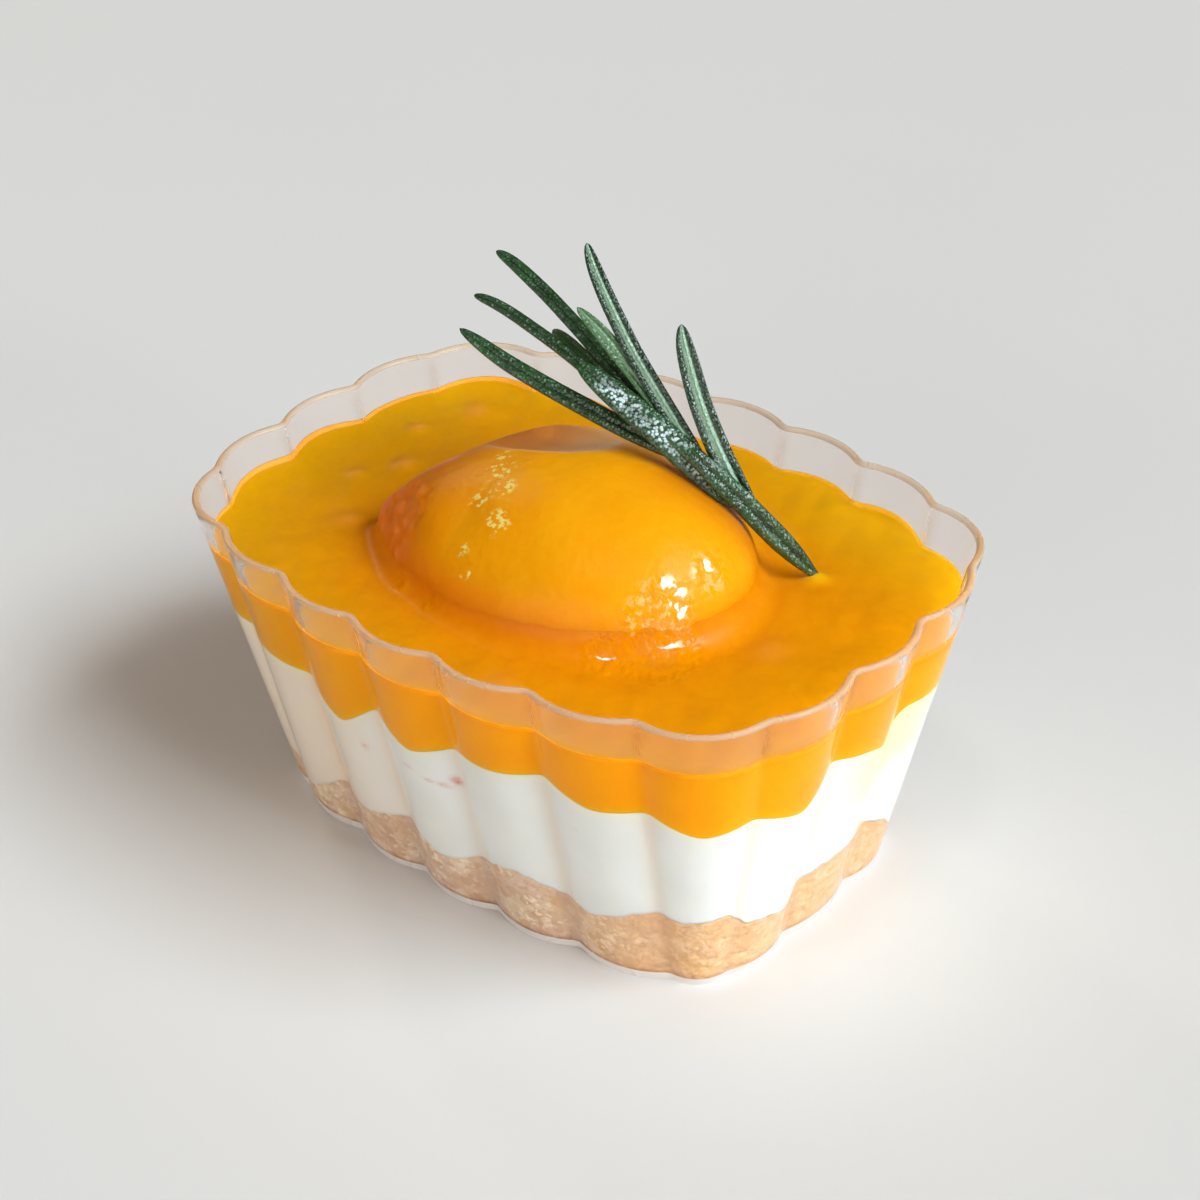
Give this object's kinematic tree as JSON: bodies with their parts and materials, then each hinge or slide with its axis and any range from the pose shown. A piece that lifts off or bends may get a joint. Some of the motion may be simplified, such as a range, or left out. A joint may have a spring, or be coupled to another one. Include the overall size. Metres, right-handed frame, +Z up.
{
  "type": "mango cheesecake cup",
  "caption": "Clear fluted dessert cup filled with layers of crumbled biscuit, cream and mango puree, topped with a glazed piece of mango and a sprig of rosemary.",
  "frame": {"origin": "middle of the underside of the cup's foot, on the table", "axes": "+Z up; +X along the cup's long way, towards the end where the rosemary stands in the puree; +Y across the cup, towards the side where the rosemary leans"},
  "size_m": [0.0972, 0.0726, 0.0744],
  "materials": {
    "clear_plastic": "clear, smooth and glossy",
    "biscuit": "coarse crumb with butter, matte",
    "cream": "soft satin",
    "puree": "wet and glossy",
    "fruit": "glazed and wet, with a reddish cut end",
    "herb": "waxy green with pale undersides"
  },
  "bodies": {
    "root": {"cup": "clear_plastic", "biscuit_base": "biscuit", "cream_layer": "cream", "mango_puree": "puree", "mango_piece": "fruit", "rosemary_sprig": "herb"}
  },
  "joints": []
}
